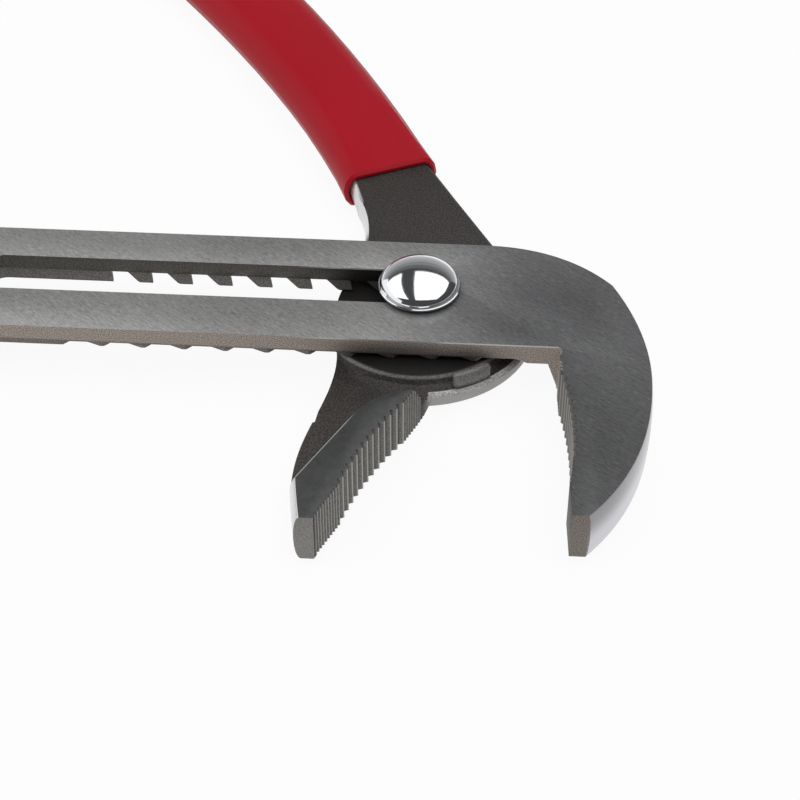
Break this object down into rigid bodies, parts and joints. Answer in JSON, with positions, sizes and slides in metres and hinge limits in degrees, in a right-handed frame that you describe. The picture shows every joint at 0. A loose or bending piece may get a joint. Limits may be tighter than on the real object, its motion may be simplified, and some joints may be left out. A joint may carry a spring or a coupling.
{
  "type": "water pump pliers",
  "caption": "Slip-joint water pump pliers: hooked slotted upper jaw and tongued lower jaw on a sliding domed bolt, curved serrated faces, long bowed handles in dipped grips.",
  "frame": {"origin": "on the pivot bolt's axis at the slot's first seat, in the plane of the nut's underside that the tool lies on", "axes": "+Z along the pivot axis towards the bolt head, +X along the slotted arm towards the hook jaw, +Y away from the jaw mouth"},
  "size_m": [0.4035, 0.3375, 0.0211],
  "materials": {
    "ground_steel": "ground",
    "forged_steel": "forged, dark",
    "polished_bolt": "polished",
    "plated_hardware": "zinc plated",
    "dipped_vinyl": "gloss"
  },
  "bodies": {
    "upper": {"upper_jaw": "ground_steel", "upper_grip": "dipped_vinyl"},
    "pivot": {"pivot_bolt": "polished_bolt", "pivot_washer": "plated_hardware", "pivot_nut": "plated_hardware"},
    "lower": {"lower_jaw": "forged_steel", "lower_grip": "dipped_vinyl"}
  },
  "joints": [
    {"name": "slot_slide", "type": "slide", "parent": "upper", "child": "pivot", "axis": [1, 0, 0], "range_m": [-0.1042, 0]},
    {"name": "jaw_pivot", "type": "hinge", "parent": "pivot", "child": "lower", "pos_m": [0, 0, 0], "axis": [0, 0, 1], "range_deg": [-40, 40]}
  ]
}
